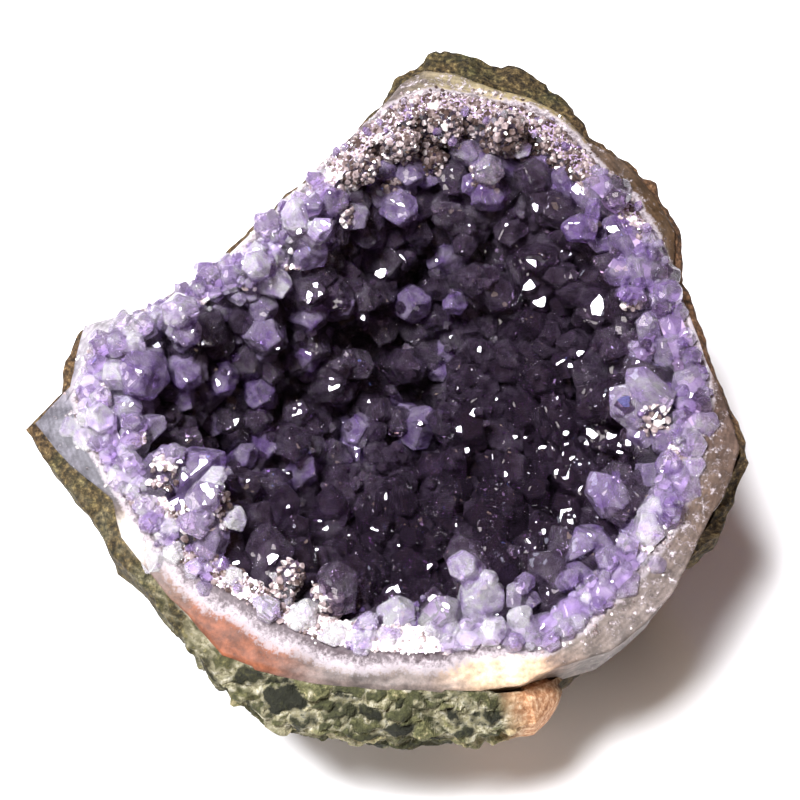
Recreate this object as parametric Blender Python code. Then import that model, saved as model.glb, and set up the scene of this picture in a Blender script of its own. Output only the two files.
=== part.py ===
"""Half of an amethyst geode, resting on its rounded back with the hollow up.

A rind of basalt holds a banded lining of agate. The lining holds one crust: a layer of quartz
and the pointed crystals that grew from it. Metres, +Z up, the front of the rim towards -Y.
"""
import math
import random

import bmesh
import bpy
from mathutils import Matrix, Vector, noise

MM = 0.001

# The rim seen from above, in millimetres: bearing in degrees, anticlockwise from +X, and radius.
OUTLINE = [
    (3, 54.5), (11, 53.3), (20, 53.0), (28, 57.3), (36, 58.3), (44, 58.8), (51, 58.0), (57, 60.2),
    (64, 62.2), (71, 63.4), (78, 63.4), (83, 62.0), (87, 58.0), (91, 52.0), (96, 47.0), (102, 43.3),
    (112, 38.8), (124, 36.5), (137, 35.3), (150, 36.5), (160, 41.0), (165, 45.0), (170, 52.0),
    (176, 52.5), (182, 52.8), (188, 58.7), (196, 54.8), (205, 51.8), (213, 51.8), (222, 50.8),
    (232, 51.8), (241, 55.0), (252, 56.2), (264, 55.8), (276, 56.5), (286, 58.0), (293, 57.8),
    (299, 55.8), (308, 58.4), (320, 59.2), (332, 58.0), (340, 59.6), (348, 61.0), (356, 57.3),
]
COLUMN_STEP = 9.0

# The hollow's edge is rounder than the outline: it follows the outline's mean over these turns.
EVENED_OVER = (-12, -6, 0, 6, 12)

# The layers along the broken rim, in millimetres: bearing in degrees, the height of agate that
# shows bare outside, the fall of the basalt's broken face, and the widths of basalt, agate and quartz.
LAYERS = [
    (0, 0.3, 1.0, 1.2, 2.0, 4.5),
    (28, 0.3, 1.0, 1.4, 3.5, 4.0),
    (44, 0.3, 1.0, 1.8, 5.0, 4.0),
    (57, 0.0, 1.0, 3.0, 3.0, 4.5),
    (70, -1.0, 1.5, 7.0, 2.5, 5.0),
    (84, -0.5, 1.0, 4.5, 3.5, 5.0),
    (94, 0.5, 1.0, 1.2, 3.0, 5.0),
    (137, 0.5, 1.0, 1.2, 2.5, 4.5),
    (180, 0.5, 1.0, 1.2, 3.0, 5.0),
    (188, 0.5, 0.8, 1.2, 4.0, 4.0),
    (195, 0.5, 1.0, 1.2, 5.0, 4.0),
    (201, 0.5, 3.0, 3.5, 3.5, 4.5),
    (209, 0.5, 3.0, 3.5, 3.0, 5.0),
    (215, 0.3, 1.0, 1.3, 4.5, 5.0),
    (228, 0.3, 1.0, 1.4, 6.0, 4.5),
    (240, 0.3, 2.5, 2.5, 8.0, 3.5),
    (252, 0.0, 5.5, 5.0, 6.0, 3.5),
    (276, 0.0, 6.0, 5.5, 5.0, 4.5),
    (290, 0.5, 5.0, 4.5, 6.0, 4.0),
    (298, 7.0, 2.0, 1.2, 5.0, 4.0),
    (306, 17.0, 1.5, 1.2, 5.5, 4.0),
    (320, 22.0, 1.5, 1.2, 6.0, 4.0),
    (334, 18.0, 1.5, 1.2, 6.0, 4.0),
    (343, 6.0, 2.0, 1.6, 6.0, 4.0),
    (348, 1.5, 2.0, 2.0, 5.5, 4.0),
]

# The rim lies in a plane that rises from the front to the back. What lies lower than the rim
# is set back from it, most of all the bottom, whose centre this is.
RIM_HEIGHT = 52.0
RIM_SLOPE = 0.27
RIM_ROUGHNESS = 0.6
RIM_CHIP_BEARING = 0.12
THINNEST_AGATE = 1.2
BOTTOM_CENTRE = (3.0, 9.0)

# The broken face falls outwards, less at the back than at the front: the mean fall of a
# millimetre's width, its change with bearing, and the quartz's share of it.
RIM_LEAN = 0.30
RIM_LEAN_CHANGE = 0.20
QUARTZ_LEAN_SHARE = 0.4

# Where each wall meets the bottom: the bottom's height, the share of the rim's radius at which
# the wall starts, and the power that rounds it.
OUTSIDE = (0.0, 0.50, 1.8)
BASALT_TO_AGATE = (5.0, 0.36, 1.5)
AGATE_TO_QUARTZ = (10.0, 0.26, 1.3)
HOLLOW = (15.0, 0.10, 1.1)
OUTSIDE_RINGS = (0, 10, 21, 32, 43, 54, 66, 78, 90)
INNER_RINGS = (0, 20, 42, 66, 90)
GAP = 0.3

LUMP_HEIGHT = 2.2
LUMP_SIZE = 13.0
RIDGE_HEIGHT = 0.8
RIDGE_SIZE = 7.0

# Crystals, in millimetres. The point's height and the slide of its tip are shares of the
# crystal's radius, the sink is how deep its foot stands in the quartz layer, and the spacing
# is a share of two neighbours' radii together.
CRYSTAL_RADIUS = (2.9, 4.6)
CRYSTAL_LENGTH = (1.7, 2.7)
CRYSTAL_POINT = 1.0
END_FACE_SLOPE = math.radians(40)
SMALL_FACE_RISE = (0.1, 0.45)
TIP_SLIDE = 0.25
FOOT_FLARE = 1.08
CRYSTAL_SINK = 1.6
CRYSTAL_SPACING = 1.15
CRYSTAL_TILT = 0.33
LARGE_CRYSTAL_TILT = 0.15
UPWARD_PULL = 0.9
THINNEST_CRYSTAL = 0.8
AGATE_CLEARANCE = 0.7
SCATTER_TRIES = 9000
SEED = 11

# Crystals that stand out, in millimetres: bearing, slope down the wall, radius and length.
LARGE_CRYSTALS = [
    (290, 16, 4.2, 11.5), (297, 12, 2.5, 10.5), (281, 14, 3.0, 8.5), (273, 13, 3.0, 8.0),
    (264, 18, 3.2, 7.0), (171, 18, 4.6, 7.0), (164, 23, 3.8, 6.5), (187, 9, 3.2, 6.0),
    (105, 9, 3.0, 6.0), (112, 10, 3.1, 6.0), (90, 14, 3.0, 7.0), (128, 8, 2.6, 5.5),
    (74, 59, 3.6, 7.0), (66, 14, 2.8, 9.0), (38, 8, 3.1, 6.0), (51, 10, 3.4, 6.0),
    (21, 32, 3.4, 6.5), (9, 9, 3.7, 7.0), (358, 8, 2.8, 6.0), (338, 32, 3.6, 7.0),
    (340, 16, 3.7, 8.0), (329, 12, 3.5, 8.0), (318, 12, 3.2, 8.0), (309, 14, 3.4, 7.5),
    (243, 59, 3.2, 7.0), (190, 68, 3.8, 7.0), (207, 18, 3.0, 6.5), (237, 14, 3.0, 6.0),
    (248, 20, 3.2, 6.5), (28, 8, 3.4, 6.5),
]

# The share of its faces that the wall between the crystals keeps.
HOLLOW_FACES_KEPT = 0.65

BASALT_COLOR = (0.09, 0.10, 0.06)
AGATE_COLOR = (0.42, 0.33, 0.28)
AMETHYST_COLOR = (0.23, 0.10, 0.38)


def along(table, bearing):
    """The row of a table at a bearing, straight between its stations all the way round."""
    first = [table[0][0] + 360.0, *table[0][1:]]
    previous = [table[-1][0] - 360.0, *table[-1][1:]]
    for row in [*table, first]:
        if bearing <= row[0]:
            share = (bearing - previous[0]) / (row[0] - previous[0])
            return [a + (b - a) * share for a, b in zip(previous[1:], row[1:])]
        previous = row


def column_bearings():
    """Every station of the outline, and even steps between the stations."""
    bearings = []
    for index, (bearing, _) in enumerate(OUTLINE):
        following = OUTLINE[(index + 1) % len(OUTLINE)][0]
        width = (following - bearing) % 360
        steps = math.ceil(width / COLUMN_STEP)
        bearings += [bearing + width * step / steps for step in range(steps)]
    return bearings


def rough(x, y, z, size, seed):
    """Smooth noise from -1 to 1 whose bumps are about one size across."""
    return noise.noise(Vector((x, y, z)) / size + Vector((seed * 17.3, seed * 5.1, 0.0)))


def set_back(height):
    """How far what lies at a height is moved back from under the rim's centre."""
    share = max(0.0, 1.0 - height / RIM_HEIGHT) ** 2
    return Vector((share * BOTTOM_CENTRE[0], share * BOTTOM_CENTRE[1], 0.0))


def standing(bearing, radius, height):
    """The point in space at a bearing, a radius and a height."""
    angle = math.radians(bearing)
    return Vector((radius * math.cos(angle), radius * math.sin(angle), height)) + set_back(height)


def rim_section(bearing):
    """Radius and height of the edges of the broken rim, and what else its layers state."""
    outline, = along(OUTLINE, bearing)
    evened = [along(OUTLINE, (bearing + turn) % 360)[0] for turn in EVENED_OVER]
    bare, fall, basalt, agate, quartz = along(LAYERS, bearing)
    cosine = math.cos(math.radians(bearing))
    sine = math.sin(math.radians(bearing))
    agate_radius = outline - basalt
    chips = RIM_ROUGHNESS * rough(cosine, sine, 0.0, RIM_CHIP_BEARING, 3)
    agate_height = RIM_HEIGHT + RIM_SLOPE * agate_radius * sine + chips
    lean = RIM_LEAN - RIM_LEAN_CHANGE * sine
    quartz_radius = min(sum(evened) / len(evened) - basalt - agate, agate_radius - THINNEST_AGATE)
    quartz_height = agate_height + lean * (agate_radius - quartz_radius)
    return {
        "bare": bare, "fall": fall, "basalt": basalt,
        "agate": (agate_radius, agate_height),
        "quartz": (quartz_radius, quartz_height),
        "hollow": (quartz_radius - quartz, quartz_height + QUARTZ_LEAN_SHARE * lean * quartz),
    }


def wall_point(surface, edge, slope):
    """Radius and height on a bowl's wall: slope 0 is its edge, 90 where it meets the bottom."""
    bottom, share, power = surface
    radius, height = edge
    sine = math.sin(math.radians(slope))
    cosine = max(0.0, math.cos(math.radians(slope)))
    start = share * radius
    return start + (radius - start) * cosine ** power, bottom + (height - bottom) * (1.0 - sine)


def beside_gap(place, outward):
    """Half of the gap between two stones: 1 out towards the rind, -1 in towards the hollow."""
    radius, height = place
    return max(0.0, radius + outward * GAP / 2), height - outward * GAP / 2


def wall_ring(surface, edge, slope, outward=0):
    """A ring of a wall, as a function of the bearing."""
    return lambda bearing: beside_gap(wall_point(surface, rim_section(bearing)[edge], slope), outward)


def bottom_point(surface, outward=0):
    """The middle of a bottom, the same for every bearing."""
    return lambda bearing: (0.0, beside_gap((0.0, surface[0]), outward)[1])


def collection(name):
    found = bpy.data.collections.get(name)
    if not found:
        found = bpy.data.collections.new(name)
        bpy.context.scene.collection.children.link(found)
    return found


def stone(name, color, roughness):
    material = bpy.data.materials.new(name)
    material.use_nodes = True
    shader = material.node_tree.nodes["Principled BSDF"]
    shader.inputs["Base Color"].default_value = (*color, 1.0)
    shader.inputs["Roughness"].default_value = roughness
    shader.inputs["Metallic"].default_value = 0.0
    material.diffuse_color = (*color, 1.0)
    return material


def folded_sphere(name, rings, material):
    """A ball whose upper half is folded down into its lower half, as a closed bowl.

    rings holds one function of the bearing for each ring, from the middle of the underside, up
    the outside, over the rim and down the inside to the middle of the hollow.
    """
    bearings = column_bearings()
    columns = len(bearings)
    bands = len(rings) - 1
    builder = bmesh.new()
    bmesh.ops.create_uvsphere(builder, u_segments=columns, v_segments=bands, radius=1.0)
    for vertex in builder.verts:
        latitude = math.asin(max(-1.0, min(1.0, vertex.co.z))) / math.pi + 0.5
        column = round(math.atan2(vertex.co.y, vertex.co.x) / (2 * math.pi) * columns) % columns
        bearing = bearings[column]
        radius, height = rings[round(latitude * bands)](bearing)
        vertex.co = standing(bearing, radius, height) * MM
    bmesh.ops.triangulate(builder, faces=builder.faces[:])
    mesh = bpy.data.meshes.new(name)
    builder.to_mesh(mesh)
    builder.free()
    mesh.materials.append(material)
    bowl = bpy.data.objects.new(name, mesh)
    collection("geode_half").objects.link(bowl)
    return bowl


def basalt_lip(bearing):
    """The inner edge of the basalt's top, lower where the agate is bare."""
    section = rim_section(bearing)
    depth = section["agate"][1] - BASALT_TO_AGATE[0]
    slope = math.degrees(math.asin(section["bare"] / depth))
    return beside_gap(wall_point(BASALT_TO_AGATE, section["agate"], slope), 1)


def basalt_outside(slope):
    """A ring of the lumpy outside, from the foot of the broken face down to the flat it rests on."""
    def place(bearing):
        section = rim_section(bearing)
        lip = basalt_lip(bearing)
        edge = (lip[0] + section["basalt"], lip[1] - section["fall"])
        radius, height = wall_point(OUTSIDE, edge, slope)
        at = standing(bearing, radius, height)
        fade = math.sin(math.radians(2 * slope)) ** 0.5 if 0 < slope < 90 else 0.0
        return radius + LUMP_HEIGHT * fade * rough(*at, LUMP_SIZE, 1), height
    return place


def build_basalt():
    rings = [bottom_point(OUTSIDE)]
    rings += [basalt_outside(slope) for slope in reversed(OUTSIDE_RINGS)]
    rings += [basalt_lip]
    rings += [wall_ring(BASALT_TO_AGATE, "agate", slope, 1) for slope in INNER_RINGS[1:]]
    rings += [bottom_point(BASALT_TO_AGATE, 1)]
    folded_sphere("basalt_rind", rings, stone("basalt", BASALT_COLOR, 0.9))


def agate_ridge(bearing):
    """The middle of the broken agate, a little proud or sunk as it broke."""
    section = rim_section(bearing)
    radius = (section["agate"][0] + section["quartz"][0]) / 2
    height = (section["agate"][1] + section["quartz"][1]) / 2
    at = standing(bearing, radius, 0.0)
    return radius, height + RIDGE_HEIGHT * rough(*at, RIDGE_SIZE, 5)


def build_agate():
    rings = [bottom_point(BASALT_TO_AGATE, -1)]
    rings += [wall_ring(BASALT_TO_AGATE, "agate", slope, -1) for slope in reversed(INNER_RINGS)]
    rings += [agate_ridge]
    rings += [wall_ring(AGATE_TO_QUARTZ, "quartz", slope, 1) for slope in INNER_RINGS]
    rings += [bottom_point(AGATE_TO_QUARTZ, 1)]
    folded_sphere("agate_band", rings, stone("agate", AGATE_COLOR, 0.35))


def build_quartz_layer():
    rings = [bottom_point(AGATE_TO_QUARTZ, -1)]
    rings += [wall_ring(AGATE_TO_QUARTZ, "quartz", slope, -1) for slope in reversed(INNER_RINGS)]
    rings += [wall_ring(HOLLOW, "hollow", slope) for slope in INNER_RINGS]
    rings += [bottom_point(HOLLOW)]
    return folded_sphere("amethyst_crust", rings, stone("amethyst", AMETHYST_COLOR, 0.15))


def coarsen_hollow(crust):
    """Leave few faces on the wall that the crystals cover, and the rest as it is."""
    def key(point):
        return tuple(round(coordinate / MM, 2) for coordinate in point)

    rim = {key(hollow_place(bearing, 0) * MM) for bearing in column_bearings()}
    middle = Vector((*BOTTOM_CENTRE, RIM_HEIGHT)) * MM
    inside = [vertex.index for vertex in crust.data.vertices
              if vertex.normal.dot(middle - vertex.co) > 0 and key(vertex.co) not in rim]
    wall = crust.vertex_groups.new(name="hollow_wall")
    wall.add(inside, 1.0, "REPLACE")
    coarser = crust.modifiers.new("coarser_wall", "DECIMATE")
    coarser.ratio = HOLLOW_FACES_KEPT
    coarser.vertex_group = wall.name


def hollow_place(bearing, slope):
    """A point of the hollow's wall."""
    radius, height = wall_point(HOLLOW, rim_section(bearing)["hollow"], slope)
    return standing(bearing, radius, height)


def hollow_normal(bearing, slope):
    """The direction square to the hollow's wall, into the hollow."""
    step = 1.5
    across = hollow_place(bearing + step, slope) - hollow_place(bearing - step, slope)
    down = hollow_place(bearing, min(89.0, slope + step)) - hollow_place(bearing, slope - step)
    return across.cross(down).normalized()


def lining_radius(bearing, height):
    """How far out the flat-faced inner wall of the agate stands at a height."""
    edge = rim_section(bearing)["quartz"]
    upper = edge
    if height >= upper[1]:
        return upper[0]
    for slope in INNER_RINGS[1:]:
        lower = wall_point(AGATE_TO_QUARTZ, edge, slope)
        if height >= lower[1]:
            share = (height - lower[1]) / (upper[1] - lower[1])
            return lower[0] + (upper[0] - lower[0]) * share
        upper = lower
    return 0.0


def clears_agate(point):
    """Whether a corner of a crystal keeps clear of the agate round it."""
    flat = point - set_back(point.z)
    bearing = math.degrees(math.atan2(flat.y, flat.x)) % 360
    return math.hypot(flat.x, flat.y) < lining_radius(bearing, point.z) - AGATE_CLEARANCE


def cut_crystal(radius, length, habit):
    """A six-sided crystal on the origin whose three large and three small end faces meet in a point."""
    small_face_rise, slide = habit
    point = CRYSTAL_POINT * radius
    shaft = max(0.2 * radius, length - point) + CRYSTAL_SINK
    crystal = bmesh.new()
    bmesh.ops.create_cone(
        crystal, cap_ends=True, segments=6, radius1=radius * FOOT_FLARE, radius2=radius,
        depth=shaft + 2 * point, matrix=Matrix.Translation((0, 0, shaft / 2 + point - CRYSTAL_SINK)))
    for face in range(6):
        angle = math.radians(60 * face + 30)
        square = Vector((math.cos(angle) * math.cos(END_FACE_SLOPE),
                         math.sin(angle) * math.cos(END_FACE_SLOPE), math.sin(END_FACE_SLOPE)))
        rise = 1.0 + (small_face_rise if face % 2 else 0.0)
        tip = Vector((slide[0] * radius, slide[1] * radius, shaft - CRYSTAL_SINK + point * rise))
        bmesh.ops.bisect_plane(
            crystal, geom=crystal.verts[:] + crystal.edges[:] + crystal.faces[:],
            plane_co=tip, plane_no=square, clear_outer=True)
        bmesh.ops.holes_fill(crystal, edges=[edge for edge in crystal.edges if edge.is_boundary])
    return crystal


def grow_crystal(builder, rng, bearing, slope, radius, length, tilt):
    """A crystal on the hollow's wall, thinned until it stays inside the agate."""
    place = hollow_place(bearing, slope)
    pull = Vector((0.0, 0.0, UPWARD_PULL * math.cos(math.radians(slope))))
    axis = (hollow_normal(bearing, slope) + pull).normalized() + tilt
    turn = axis.to_track_quat("Z", "Y").to_matrix().to_4x4()
    spin = Matrix.Rotation(rng.uniform(0, math.pi / 3), 4, "Z")
    slide = (rng.uniform(-TIP_SLIDE, TIP_SLIDE), rng.uniform(-TIP_SLIDE, TIP_SLIDE))
    habit = (rng.uniform(*SMALL_FACE_RISE), slide)
    placed = False
    while radius > THINNEST_CRYSTAL and not placed:
        crystal = cut_crystal(radius, length, habit)
        crystal.transform(Matrix.Translation(place) @ turn @ spin)
        placed = all(clears_agate(vertex.co) for vertex in crystal.verts)
        if placed:
            crystal.normal_update()
            bmesh.ops.recalc_face_normals(crystal, faces=crystal.faces[:])
            mesh = bpy.data.meshes.new("crystal")
            crystal.to_mesh(mesh)
            builder.from_mesh(mesh)
            bpy.data.meshes.remove(mesh)
        crystal.free()
        radius *= 0.9


def scattered_sites(rng):
    """Places spread over the hollow's wall between the large crystals: bearing, slope, radius."""
    taken = [(hollow_place(bearing, slope), radius) for bearing, slope, radius, _ in LARGE_CRYSTALS]
    sites = []
    for _ in range(SCATTER_TRIES):
        bearing = rng.uniform(0.0, 360.0)
        slope = math.degrees(math.asin(rng.uniform(0.03, 1.0)))
        radius = rng.uniform(*CRYSTAL_RADIUS)
        place = hollow_place(bearing, slope)
        if all((place - other).length > CRYSTAL_SPACING * (radius + size) for other, size in taken):
            taken.append((place, radius))
            sites.append((bearing, slope, radius))
    return sites


def build_crystals():
    """All the crystals in one mesh, which the quartz layer is joined with."""
    rng = random.Random(SEED)
    builder = bmesh.new()
    for bearing, slope, radius, length in LARGE_CRYSTALS:
        tilt = Vector([rng.uniform(-1, 1) for _ in range(3)]) * LARGE_CRYSTAL_TILT
        grow_crystal(builder, rng, bearing, slope, radius, length, tilt)
    for bearing, slope, radius in scattered_sites(rng):
        tilt = Vector([rng.uniform(-1, 1) for _ in range(3)]) * CRYSTAL_TILT
        grow_crystal(builder, rng, bearing, slope, radius, radius * rng.uniform(*CRYSTAL_LENGTH), tilt)
    bmesh.ops.scale(builder, vec=(MM, MM, MM), verts=builder.verts[:])
    mesh = bpy.data.meshes.new("crystal_points")
    builder.to_mesh(mesh)
    builder.free()
    crystals = bpy.data.objects.new("crystal_points", mesh)
    collection("cutters").objects.link(crystals)
    crystals.hide_render = True
    crystals.display_type = "WIRE"
    return crystals


def fuse(crust, crystals):
    """Join the quartz layer and its crystals in one solid."""
    union = crust.modifiers.new("crystals", "BOOLEAN")
    union.operation = "UNION"
    union.solver = "EXACT"
    union.use_self = True
    union.object = crystals


def main():
    for thing in list(bpy.data.objects):
        bpy.data.objects.remove(thing, do_unlink=True)
    build_basalt()
    build_agate()
    crust = build_quartz_layer()
    coarsen_hollow(crust)
    fuse(crust, build_crystals())


main()
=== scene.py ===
# %% [markdown]
# # Half of an amethyst geode
#
# A geode starts as a gas bubble in lava. Water leaves agate on the wall of the bubble, layer by
# layer, then quartz, and last the amethyst crystals that point into the hollow. Broken in half,
# it shows all of them one inside the other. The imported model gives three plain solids: the rind
# of basalt, the lining of agate and the crust of crystals. This lesson sets up the camera and
# the light, and then turns each of the solids into stone, from the outside in.

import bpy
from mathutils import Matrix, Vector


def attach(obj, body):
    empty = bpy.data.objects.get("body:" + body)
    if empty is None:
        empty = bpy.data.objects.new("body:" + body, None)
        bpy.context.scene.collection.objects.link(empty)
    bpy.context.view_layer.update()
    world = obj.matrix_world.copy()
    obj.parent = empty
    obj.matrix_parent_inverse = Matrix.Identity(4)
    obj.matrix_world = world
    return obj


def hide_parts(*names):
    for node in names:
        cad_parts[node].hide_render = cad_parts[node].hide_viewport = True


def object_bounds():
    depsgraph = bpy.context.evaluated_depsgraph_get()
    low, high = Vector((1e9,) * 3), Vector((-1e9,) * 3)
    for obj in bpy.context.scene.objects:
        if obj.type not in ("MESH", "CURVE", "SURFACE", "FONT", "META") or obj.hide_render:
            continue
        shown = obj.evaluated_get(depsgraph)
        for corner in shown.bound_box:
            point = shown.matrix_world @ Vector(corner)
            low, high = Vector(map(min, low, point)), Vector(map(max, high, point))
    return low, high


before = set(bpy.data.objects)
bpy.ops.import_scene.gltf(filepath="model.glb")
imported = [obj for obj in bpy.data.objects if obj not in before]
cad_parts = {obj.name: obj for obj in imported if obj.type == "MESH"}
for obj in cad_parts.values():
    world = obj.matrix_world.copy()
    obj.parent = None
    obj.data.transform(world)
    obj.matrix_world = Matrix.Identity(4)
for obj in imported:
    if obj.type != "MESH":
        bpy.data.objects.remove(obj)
cad_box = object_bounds()
print("solids:", ", ".join(sorted(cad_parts)))
print("size in mm:", [round((high - low) * 1000, 1) for low, high in zip(*cad_box)])

# %% What the lesson works with
import math
import random
from functools import partial
from itertools import product

import bpy
import numpy as np
from mathutils import Matrix, Vector, noise
from mathutils.bvhtree import BVHTree

MM = 0.001
scene = bpy.context.scene
noise.seed_set(5)  # without a seed, noise_vector differs from run to run


def linear(hex_color, alpha=1.0):
    """A colour as written on the web, as the linear numbers that a shader takes."""
    channels = [int(hex_color[start:start + 2], 16) / 255 for start in (1, 3, 5)]
    return (*[c / 12.92 if c <= 0.04045 else ((c + 0.055) / 1.055) ** 2.4 for c in channels], alpha)


print("a mid grey is", round(linear("#808080")[0], 3), "in linear light")

# %% [markdown]
# ## Looking at the stone
#
# The camera stands in front of the stone and looks down into the hollow at 52 degrees, from
# about 30 cm away, as one holds a camera over a small thing on a table. A short distance with
# a long lens gives the same strong perspective as in the picture that is being matched.

# %% The camera
LOOK_AT = Vector((2.5, 0.0, 46.0)) * MM
LOOK_DOWN = math.radians(52)
CAMERA_DISTANCE = 315 * MM

optics = bpy.data.cameras.new("camera")
optics.lens = 85
optics.sensor_width = 36
optics.clip_start = 0.01
camera = bpy.data.objects.new("camera", optics)
camera.location = LOOK_AT + CAMERA_DISTANCE * Vector((0, -math.cos(LOOK_DOWN), math.sin(LOOK_DOWN)))
camera.rotation_euler = (math.pi / 2 - LOOK_DOWN, 0, 0)
scene.collection.objects.link(camera)
scene.camera = camera
print("camera at", [round(c / MM) for c in camera.location], "mm")

# %% [markdown]
# ## Light
#
# The stone lies on white paper in bright daylight. A window high above, a little to the left
# and to the front, lights the rim and leaves the hollow dark, and throws a short shadow to the
# right. A weak lamp low at the left front brightens the broken front. Smaller lamps stand for
# a white wall, the ceiling and the room on the right, and a patch of blue sky and six bright
# points give the crystal faces more to mirror, which is what makes a hollow full of crystals
# sparkle. The room throws a little warm light into every shadow.

# %% The lamps and the room
KEY_DIRECTION = Vector((-0.29, -0.19, 0.94)).normalized()
SKY_DIRECTION = Vector((0.12, 0.35, 0.93)).normalized()

# Name, direction from the stone, distance and size in metres, power in watts and colour.
LAMPS = (
    ("window", KEY_DIRECTION, 0.9, 0.28, 25.0, "#fbfbff"),
    ("white_wall", (-0.75, 0.35, 0.6), 0.9, 0.28, 1.2, "#e6ecff"),
    ("ceiling", (0.30, 0.25, 0.92), 0.9, 0.2, 0.5, "#ffe0c4"),
    ("right_wall", (0.60, -0.50, 0.62), 0.9, 0.2, 0.3, "#ffe0c4"),
    ("front_fill", (-0.82, -0.52, 0.30), 1.0, 0.5, 5.5, "#fff8f2"),
    ("blue_sky", SKY_DIRECTION, 0.9, 0.12, 0.25, "#7f9cff"),
)
SPARKLES = ((0.5, -0.3, 0.8), (-0.7, -0.5, 0.6), (0.1, 0.9, 0.6), (0.75, 0.5, 0.5), (-0.1, -0.55, 0.9),
            (-0.5, 0.6, 0.6))
SPARKLE = (0.9, 0.032, 0.10, "#f4f4ff")


def add_lamp(name, direction, distance, size, power, color):
    """A square lamp that looks at the stone from a direction."""
    lamp = bpy.data.lights.new(name, "AREA")
    lamp.size = size
    lamp.energy = power
    lamp.color = linear(color)[:3]
    holder = bpy.data.objects.new(name, lamp)
    holder.location = LOOK_AT + Vector(direction).normalized() * distance
    holder.rotation_euler = Vector(direction).to_track_quat("Z", "Y").to_euler()
    scene.collection.objects.link(holder)


for row in LAMPS:
    add_lamp(*row)
for index, direction in enumerate(SPARKLES):
    add_lamp(f"sparkle_{index}", direction, *SPARKLE)

room = bpy.data.worlds.new("room")
scene.world = room
room.use_nodes = True
room.node_tree.nodes["Background"].inputs["Color"].default_value = linear("#ffb888")
room.node_tree.nodes["Background"].inputs["Strength"].default_value = 0.07
scene.view_settings.view_transform = "Standard"
print("lamps:", ", ".join(light.name for light in bpy.data.lights))

# %% [markdown]
# ## A helper for materials
#
# Every finish below is a small graph of nodes. One function adds a node, sets what is given,
# plugs in other nodes' outputs and returns the output that is used next. Each new material
# hands out that function for itself, as add. All patterns read object coordinates, which are
# in metres, so noise of scale 2 / MM has two grains to the millimetre on the real stone.

# %% One function that adds a node
# A Mix node has sockets of the same name for every kind of value: these are its colours.
COLOR_A, COLOR_B = 6, 7
COLOR_MIX = {"data_type": "RGBA", "output": 2}


def set_inputs(node, inputs):
    """Gives each input a plain value or plugs in the output of another node."""
    for socket, value in inputs.items():
        if isinstance(value, bpy.types.NodeSocket):
            node.id_data.links.new(value, node.inputs[socket])
        else:
            node.inputs[socket].default_value = value


def add_node(material, kind, inputs, stops=(), output=0, **settings):
    """Adds a node with its settings and links, and returns one of its outputs."""
    node = material.node_tree.nodes.new("ShaderNode" + kind)
    for name, value in settings.items():
        setattr(node, name, value)
    set_inputs(node, inputs)
    if stops:
        elements = node.color_ramp.elements
        while len(elements) < len(stops):
            elements.new(1.0)
        for element, (position, color) in zip(elements, stops):
            element.position = position
            element.color = linear(color)
    return node.outputs[output]


def new_material(name):
    """A material, its Principled shader and the function that adds nodes to it."""
    material = bpy.data.materials.new(name)
    material.use_nodes = True
    return material, material.node_tree.nodes["Principled BSDF"], partial(add_node, material)


# %% [markdown]
# ## White paper
#
# The stone stands on a sheet of plain white paper that is bright enough to fade into the
# background. It is a stage, so it isn't part of the stone.

# %% The paper
bpy.ops.object.select_all(action="DESELECT")
bpy.ops.mesh.primitive_plane_add(size=4.0, location=(0, 0, 0))
paper = bpy.context.object
paper.name = "paper"
white, shader, _ = new_material("white_paper")
set_inputs(shader, {"Base Color": linear("#f4f4f4"), "Roughness": 0.8})
paper.data.materials.append(white)
print("paper:", [round(c, 1) for c in paper.dimensions], "m")

# %% [markdown]
# ## Working on a copy
#
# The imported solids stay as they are. Each stone starts as a copy of its solid, with the loose
# triangles merged into one skin. Faces are picked in code, by where they are, and then cut
# finer in edit mode.

# %% Copy, pick and cut


def only(piece):
    """Selects one object and nothing else."""
    if bpy.context.mode != "OBJECT":
        bpy.ops.object.mode_set(mode="OBJECT")
    bpy.ops.object.select_all(action="DESELECT")
    piece.select_set(True)
    bpy.context.view_layer.objects.active = piece


def copy_of(node, name):
    """A new object with a copy of a solid's mesh, its doubles merged."""
    piece = bpy.data.objects.new(name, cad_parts[node].data.copy())
    scene.collection.objects.link(piece)
    piece.data.materials.clear()
    only(piece)
    bpy.ops.object.mode_set(mode="EDIT")
    bpy.ops.mesh.select_all(action="SELECT")
    bpy.ops.mesh.remove_doubles(threshold=0.001 * MM)
    bpy.ops.object.mode_set(mode="OBJECT")
    return piece


def cut_finer(piece, wanted):
    """Cuts each face whose centre is wanted into four."""
    only(piece)
    bpy.ops.object.mode_set(mode="EDIT")
    bpy.ops.mesh.select_mode(type="FACE")
    bpy.ops.mesh.select_all(action="DESELECT")
    bpy.ops.object.mode_set(mode="OBJECT")
    for polygon in piece.data.polygons:
        polygon.select = wanted(polygon.center / MM)
    bpy.ops.object.mode_set(mode="EDIT")
    bpy.ops.mesh.subdivide(number_cuts=1)
    bpy.ops.object.mode_set(mode="OBJECT")


def finish_mesh(piece, material, slot, *nodes):
    """Gives a piece its material and its body, and hides the solids that it stands for."""
    piece.data.materials.append(material)
    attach(piece, "root")
    if nodes:
        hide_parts(*nodes)
    triangles = sum(len(p.vertices) - 2 for p in piece.data.polygons)
    print(piece.name, "has", triangles, "triangles")


# %% [markdown]
# ## Distances and bearings
#
# Where two stones touch, and where one turns into the next, is known from the distance to the
# neighbour's faces. And the rim isn't the same all round: fresh here, stained there, thick in
# one place and crumbly in another. Such a change is a short table of bearings, in degrees from
# the right and anticlockwise as seen from above, each with its value.

# %% Measure on the stone


def tree_of(node):
    """A search tree of a solid's faces, for distances and rays."""
    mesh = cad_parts[node].data
    return BVHTree.FromPolygons([v.co for v in mesh.vertices], [p.vertices for p in mesh.polygons])


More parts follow.
